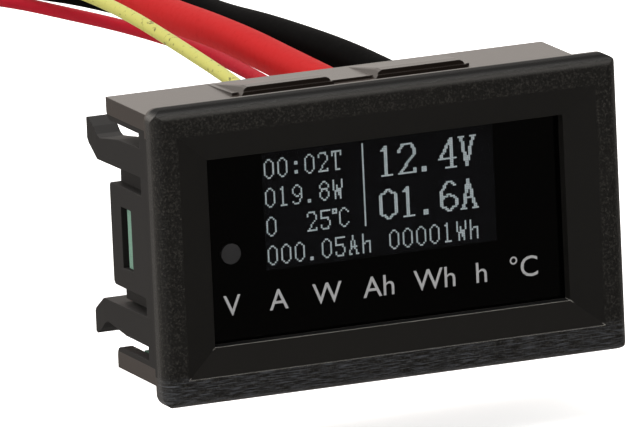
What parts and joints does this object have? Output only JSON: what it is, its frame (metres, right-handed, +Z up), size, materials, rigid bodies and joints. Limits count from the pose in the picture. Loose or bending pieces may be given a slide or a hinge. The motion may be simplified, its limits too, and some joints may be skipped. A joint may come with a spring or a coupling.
{
  "type": "digital panel meter",
  "caption": "Snap-in panel meter: bevelled black case, glossy window with an OLED display and a push button, open back with soldered leads.",
  "frame": {"origin": "centre of the bezel, in the plane of the panel face that the bezel's back rests on", "axes": "+X to the viewer's right along the bezel, +Y from the front through the panel to the back, +Z up"},
  "size_m": [0.048, 0.153, 0.0349],
  "materials": {
    "case_abs": "satin, spark-eroded texture on the front land",
    "window_acrylic": "polished",
    "mask_print": "smooth printed film",
    "polariser_film": "smooth",
    "display_glass": "polished",
    "silicon": "polished",
    "flex_film": "smooth polyimide",
    "foam": "foam",
    "button_plastic": "satin",
    "switch_plastic": "moulded",
    "tinned_metal": "tin plated",
    "circuit_board": "solder mask",
    "chip_epoxy": "moulded epoxy",
    "ferrite": "sintered",
    "tantalum_case": "moulded",
    "resistance_wire": "drawn wire",
    "ceramic": "fired",
    "resistor_film": "glazed",
    "thermistor_ceramic": "fired",
    "solder": "bright",
    "red_insulation": "extruded",
    "black_insulation": "extruded",
    "yellow_insulation": "extruded",
    "tinned_strands": "tinned strands"
  },
  "bodies": {
    "meter": {"case": "case_abs", "window_panel": "window_acrylic", "window_mask": "mask_print", "oled_polariser": "polariser_film", "oled_front_glass": "display_glass", "oled_back_glass": "display_glass", "oled_driver_chip": "silicon", "oled_flex": "flex_film", "oled_spacer": "foam", "switch_body": "switch_plastic", "switch_cover": "tinned_metal", "switch_legs": "tinned_metal", "main_pcb": "circuit_board", "microcontroller": "chip_epoxy", "memory_chip": "chip_epoxy", "amplifier_chip": "chip_epoxy", "regulator": "chip_epoxy", "converter_chip": "chip_epoxy", "chip_pins": "tinned_metal", "inductor": "ferrite", "inductor_pads": "tinned_metal", "diode": "chip_epoxy", "input_capacitor": "tantalum_case", "end_clips": "tinned_metal", "shunt": "resistance_wire", "ceramic_capacitors": "ceramic", "resistors": "resistor_film", "thermistor": "thermistor_ceramic", "chip_terminals": "tinned_metal", "solder_joints": "solder", "lead_thick_red": "red_insulation", "lead_thin_red": "red_insulation", "lead_thick_black": "black_insulation", "lead_thin_black": "black_insulation", "lead_thin_yellow": "yellow_insulation", "tip_thick_red": "tinned_strands", "tip_thick_black": "tinned_strands", "tip_thin_red": "tinned_strands", "tip_thin_black": "tinned_strands", "tip_thin_yellow": "tinned_strands"},
    "button": {"push_button": "button_plastic", "switch_stem": "switch_plastic"}
  },
  "joints": [
    {"name": "button_press", "type": "slide", "parent": "meter", "child": "button", "axis": [0, 1, 0], "range_m": [0, 0.0003], "stiffness_N_per_m": 400}
  ]
}
